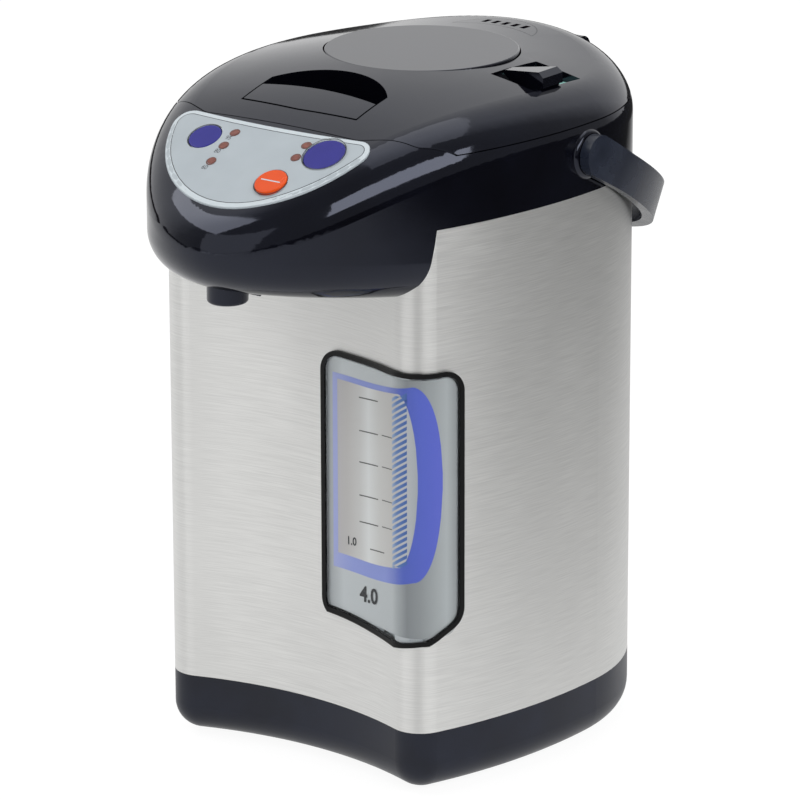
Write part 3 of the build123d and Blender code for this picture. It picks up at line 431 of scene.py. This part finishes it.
# -------------------------------------------------------------- the head
# The collar is pressed on the sleeve. It carries the beak with its bowl-shaped
# chin, nozzle and cup lever, and the hinge bracket at the back; all are black
# ABS polished by the mould, which mirrors the room in sharp bluish highlights.
gloss_abs = surface("black gloss ABS", "06060b", "090a12", (0.05, 0.09), 40, 0.04, 1.111, IOR=1.52,
                    Specular_Tint=linear("dfe6ff"))
dress(gloss_abs, "shoulder_collar", "chin_cover", "spout_nozzle", "cup_lever", "hinge_block")

# --------------------------------------------------------- control panel
# The panel is a printed polycarbonate sheet glued in a shallow seat on the
# slope of the head, with three push keys and five lamp lenses through it.

# Sheet with a fine hazed face: pale grey, with soft reflections.
panel_sheet = surface("pale grey polycarbonate sheet", "a8b1b7", "acb5bb", (0.28, 0.34), 16.67, 0.08,
                      0.4167)
dress(panel_sheet, "control_panel")
dress(board_laminate, "panel_board")
# Moulded caps dyed through, with a satin top.
blue_key = surface("blue key plastic", "232180", "262486", (0.24, 0.28), 11.11, 0.1, 0.5,
                   Specular_IOR_Level=0.3)
dress(blue_key, "dispense_key", "temperature_key")
orange_key = surface("orange key plastic", "de4a06", "e24f0a", (0.24, 0.28), 11.11, 0.1, 0.5,
                     Specular_IOR_Level=0.3)
dress(orange_key, "reboil_key")
# Tinted plastic over an unlit lamp: dull brownish red.
lamp_lens = surface("unlit red lamp lens", "6d3a30", "84493c", (0.15, 0.25), 2, 0.05, 0.5)
dress(lamp_lens, "indicator_lenses")

# Its print is a pale rim, a fine dark line inside it that follows the
# outline, a ring round each lamp and key, and numerals beside three lamps.
over_head = 0.33
down = Vector((0, 0, -1))
print_lift = 0.05


def skin_of(name):
    """Search tree over the faces of a CAD node."""
    return BVHTree.FromObject(nodes[name], bpy.context.evaluated_depsgraph_get())


panel_skin = skin_of("control_panel")


def on_panel(x, y, lift=print_lift):
    """Point just over the panel sheet above a plan position in millimetres."""
    above = Vector((x * mm, y * mm, over_head))
    point = panel_skin.ray_cast(above, down)[0] or panel_skin.find_nearest(above)[0]
    return point + Vector((0, 0, lift * mm))


def panel_loop(inset):
    """Closed plan outline of the panel, moved in by inset: two bows and two rounded corners."""
    front, front_radius, back, back_radius, corner = -94.25, 59.25, 279.4, 386.4, 7.5
    near, far = front_radius - corner, back_radius + corner
    y = (near ** 2 - far ** 2 - front ** 2 + back ** 2) / (2 * (back - front))
    x = math.sqrt(near ** 2 - (y - front) ** 2)
    low, high = math.atan2(y - front, x), math.atan2(y - back, x)
    spans = [(x, y, corner - inset, low, high + math.pi),
             (0, back, back_radius + inset, high, -math.pi - high),
             (-x, y, corner - inset, -high, math.pi - low),
             (0, front, front_radius - inset, math.pi - low, 2 * math.pi + low)]
    steps = 24
    loop = []
    for cx, cy, radius, start, end in spans:
        turns = [start + (end - start) * step / steps for step in range(steps)]
        loop += [(cx + radius * math.cos(turn), cy + radius * math.sin(turn)) for turn in turns]
    return loop


def band(name, outer, inner, place, material):
    """Closed ribbon between two plan loops laid on a surface, facing up."""
    mesh = bmesh.new()
    edges = []
    for loop in (outer, inner):
        rim = [mesh.verts.new(place(x, y)) for x, y in loop]
        edges += [mesh.edges.new(pair) for pair in zip(rim, rim[1:] + rim[:1])]
    bmesh.ops.bridge_loops(mesh, edges=edges)
    bmesh.ops.recalc_face_normals(mesh, faces=mesh.faces)
    mesh.faces.ensure_lookup_table()
    if mesh.faces[0].normal.z < 0:
        bmesh.ops.reverse_faces(mesh, faces=mesh.faces)
    return finished(name, mesh, material)


def trim_ring(name, node, x, y, inner, outer, material):
    """Flat printed ring round a lens or key, level with the sheet beside it."""
    off_middle, margin, ring_lift = 0.6, 0.8, 0.12
    above = Vector((x * mm, (y - off_middle) * mm, over_head))
    top, normal, _, _ = skin_of(node).ray_cast(above, down)
    beside = on_panel(x - outer - margin, y - off_middle, ring_lift)
    centre = top - normal * (top - beside).dot(normal)
    side = Vector((1, 0, 0))
    rise = normal.cross(side).normalized()
    turns = [math.pi * step / 20 for step in range(40)]
    loops = [[(r * math.cos(turn), r * math.sin(turn)) for turn in turns] for r in (outer, inner)]
    band(name, *loops, lambda u, v: centre + (side * u + rise * v) * mm, material)


# Screen inks: flat and even, the dark ones a little duller than the sheet.
pale_print = surface("pale panel border print", "c3ccd1", "c7d0d5", (0.28, 0.34), 16.67, 0.05, 0.4167)
dark_print = surface("dark slate printing ink", "2d3038", "3a3d46", (0.35, 0.45), 5, 0.05, 0.5)
brown_print = surface("brown printing ink", "5a3028", "6b3c31", (0.35, 0.45), 3.333, 0.05, 0.5)
rim_start, rim_end, line_end = 0.2, 2.3, 2.65
band("panel_border", panel_loop(rim_start), panel_loop(rim_end), on_panel, pale_print)
band("panel_line", panel_loop(rim_end), panel_loop(line_end), on_panel, dark_print)

lamp_places = [(-17.8, -114.2), (-17.8, -122.6), (-17.8, -132.0), (23.7, -113.6), (23.7, -121.6)]
lens_rim, lamp_ring_rim = 1.95, 2.6
for number, (x, y) in enumerate(lamp_places):
    trim_ring(f"lamp_ring_{number}", "indicator_lenses", x, y, lens_rim, lamp_ring_rim, brown_print)

key_gap, key_ring_width = 0.3, 0.45
for key, x, y, radius in (("dispense_key", 36.2, -116.4, 10.2), ("temperature_key", -31.8, -119.0, 8.1),
                          ("reboil_key", 21.0, -137.0, 7.9)):
    hole = radius + key_gap
    trim_ring(f"{key}_ring", key, x, y, hole, hole + key_ring_width, dark_print)

# A pale stroke is printed across the cap of the orange key.
stroke_x, stroke_y, stroke_half_length, stroke_half_width = 21.0, -137.6, 5.4, 0.3
key_skin = skin_of("reboil_key")
stroke = bmesh.new()
bmesh.ops.create_grid(stroke, x_segments=1, y_segments=1, size=1.0)
for vert in stroke.verts:
    x = stroke_x + stroke_half_length * vert.co.x
    y = stroke_y + stroke_half_width * vert.co.y
    cap_point = key_skin.ray_cast(Vector((x * mm, y * mm, over_head)), down)[0]
    vert.co = cap_point + Vector((0, 0, print_lift * mm))
finished("reboil_key_line", stroke, pale_print, "reboil_button")

numeral_height, numeral_left, numeral_below = 2.3, 1.0, 4.2
for words, (x, y) in zip(("95", "80", "60"), lamp_places):
    left, low = x - numeral_left, y - numeral_below
    numeral(f"lamp_numeral_{words}", words, numeral_height,
            lambda u, v: on_panel(left + u, low + v), dark_print)

# ---------------------------------------------------------------- the lid
# The lid is a gloss cover over a pale inner tray with a silicone gasket. It
# hinges on a steel pin and carries the press plate, its lock slider over a
# green mark, the latch flap with its bolt, and the steam vent.
dress(gloss_abs, "lid_cover", "steam_vent", "pump_plate", "pump_lock", "latch_lever")
dress(satin_abs, "latch_bolt")
dress(inner_resin, "lid_tray")
dress(silicone, "lid_gasket", "pump_bellows")
dress(zinc_steel, "hinge_pin", "pump_spring")
# Printed ink on the floor of the slider's slot: pale and satin.
mark_green = surface("sea-green printed mark", "9ad6cc", "aadfd6", (0.3, 0.4), 3.333, 0.1, 0.6667)
dress(mark_green, "lock_indicator")

# The bellows and its spring stand on the lid tray and shorten as the round
# plate is pressed; each is shown by a copy of its mesh that rides on the lid.
for part, skin in (("pump_bellows", "bellows_skin"), ("pump_spring", "spring_wire")):
    shown = bpy.data.objects.new(skin, nodes[part].data.copy())
    bpy.context.scene.collection.objects.link(shown)
    shown.matrix_world = nodes[part].matrix_world.copy()
    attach(shown, "lid")
    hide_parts(part)
    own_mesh(shown)

# --------------------------------------------------------- carrying bail
# The bail is a channel-section strap of satin slate-blue ABS, sprung over the
# two bosses of the collar on its moulded pins.

# Moulded with a fine grain: slate under soft highlights.
strap_abs = surface("satin slate ABS", "1a1f2c", "212735", (0.22, 0.3), 16.67, 0.25, 0.4167)
dress(strap_abs, "bail_handle")

# ------------------------------------------------------ camera and studio
# A long lens looks down at the beak from its right. Softboxes stand overhead,
# in front and high on the left, with a lit wall on the right; the pot is on
# white paper, mirrored as a painted glow that is dark far off at right and rear.
azimuth, pitch, distance, roll = 0.6451707, 0.3033461, 2.60266, -0.0025883
aim_side, aim_height, focal_px, picture_px, sensor = -0.007008, 0.16003, 5343.80, 800.0, 36.0
back = Vector((math.sin(azimuth) * math.cos(pitch),
               -math.cos(azimuth) * math.cos(pitch),
               math.sin(pitch)))
right = Vector((math.cos(azimuth), math.sin(azimuth), 0.0))
up = back.cross(right)
turned_right = right * math.cos(roll) + up * math.sin(roll)
turned_up = up * math.cos(roll) - right * math.sin(roll)
eye = Vector((aim_side * math.cos(azimuth), aim_side * math.sin(azimuth), aim_height)) + back * distance
camera = bpy.data.objects.new("camera", bpy.data.cameras.new("camera"))
bpy.context.scene.collection.objects.link(camera)
camera.matrix_world = Matrix((
    (turned_right.x, turned_up.x, back.x, eye.x),
    (turned_right.y, turned_up.y, back.y, eye.y),
    (turned_right.z, turned_up.z, back.z, eye.z),
    (0.0, 0.0, 0.0, 1.0)))
camera.data.sensor_width = sensor
camera.data.lens = focal_px * sensor / picture_px
bpy.context.scene.camera = camera
bpy.context.scene.view_settings.view_transform = "Standard"

floor_half = 6.0
floor_mesh = bmesh.new()
bmesh.ops.create_grid(floor_mesh, x_segments=1, y_segments=1, size=floor_half)
floor_data = bpy.data.meshes.new("floor")
floor_mesh.to_mesh(floor_data)
floor_mesh.free()
floor = bpy.data.objects.new("floor", floor_data)
bpy.context.scene.collection.objects.link(floor)

# Camera rays see mostly white and a little of the lit paper with its shadow.
white_share, white_strength = 0.86, 1.08
paper, tree, matt = blank("white studio paper")
matt.inputs["Base Color"].default_value = grey(0.9)
matt.inputs["Roughness"].default_value = 0.9
seen = add(tree, "ShaderNodeLightPath")
white = add(tree, "ShaderNodeEmission", {"Color": grey(1.0), "Strength": white_strength})
share = add(tree, "ShaderNodeMath", {0: seen.outputs["Is Camera Ray"], 1: white_share},
            operation="MULTIPLY")
lit = add(tree, "ShaderNodeMixShader", {
    "Fac": share.outputs["Value"], 1: matt.outputs["BSDF"], 2: white.outputs["Emission"]})

# Mirrored rays see the paper as a painted glow in place of its lighting: bright near a front left corner,
# fading to dark with distance.
glow_corner, glow_reach = (-1.0, -1.0, 0.0), 4.0
place = add(tree, "ShaderNodeTexCoord")
away = add(tree, "ShaderNodeVectorMath", {0: place.outputs["Object"], 1: glow_corner},
           operation="DISTANCE")
reach = add(tree, "ShaderNodeMapRange", {"Value": away.outputs["Value"], "From Max": glow_reach})
painted_glow_fade = add(tree, "ShaderNodeValToRGB", {"Fac": reach.outputs["Result"]}, (
    (0.0, grey(0.9)), (0.3, grey(0.84)), (0.48, grey(0.7)), (0.54, grey(0.6)), (0.6, grey(0.04))))
painted_floor_glow = add(tree, "ShaderNodeEmission", {"Color": painted_glow_fade.outputs["Color"], "Strength": 1.0})
whole = add(tree, "ShaderNodeMixShader", {
    "Fac": seen.outputs["Is Glossy Ray"], 1: lit.outputs["Shader"], 2: painted_floor_glow.outputs["Emission"]})
tree.links.new(whole.outputs["Shader"], tree.nodes["Material Output"].inputs["Surface"])
floor_data.materials.append(paper)

# The room is brightest high behind the pot on the left, and dim on the right.
bright_side, room_strength = (-0.6, 0.62, 0.5), 0.95
world = bpy.data.worlds.new("studio")
bpy.context.scene.world = world
world.use_nodes = True
sky = world.node_tree
heading = add(sky, "ShaderNodeTexCoord")
toward = add(sky, "ShaderNodeVectorMath", {0: heading.outputs["Generated"], 1: bright_side},
             operation="DOT_PRODUCT")
room = add(sky, "ShaderNodeValToRGB", {"Fac": toward.outputs["Value"]}, (
    (0.0, grey(0.26)), (0.3, grey(0.34)), (0.62, grey(1.0)), (0.9, grey(1.0))))
sky.links.new(room.outputs["Color"], sky.nodes["Background"].inputs["Color"])
sky.nodes["Background"].inputs["Strength"].default_value = room_strength


def softbox(name, place, target, width, height, power):
    """Rectangular area light at a place, facing a target."""
    lamp = bpy.data.lights.new(name, "AREA")
    lamp.shape = "RECTANGLE"
    lamp.size, lamp.size_y, lamp.energy = width, height, power
    holder = bpy.data.objects.new(name, lamp)
    bpy.context.scene.collection.objects.link(holder)
    holder.location = place
    holder.rotation_euler = (Vector(target) - Vector(place)).to_track_quat("-Z", "Y").to_euler()


softbox("overhead softbox", (0.1, 0.3, 1.9), (0, 0, 0.25), 1.4, 1.1, 4)
softbox("front softbox", (-0.35, -2.3, 0.75), (0, 0, 0.2), 2.0, 1.6, 6)
softbox("high left softbox", (-1.12, -0.94, 1.64), (0, 0, 0.28), 1.7, 0.8, 11)
softbox("right wall", (1.75, -0.45, 1.25), (0, 0, 0.3), 2.2, 0.8, 22)
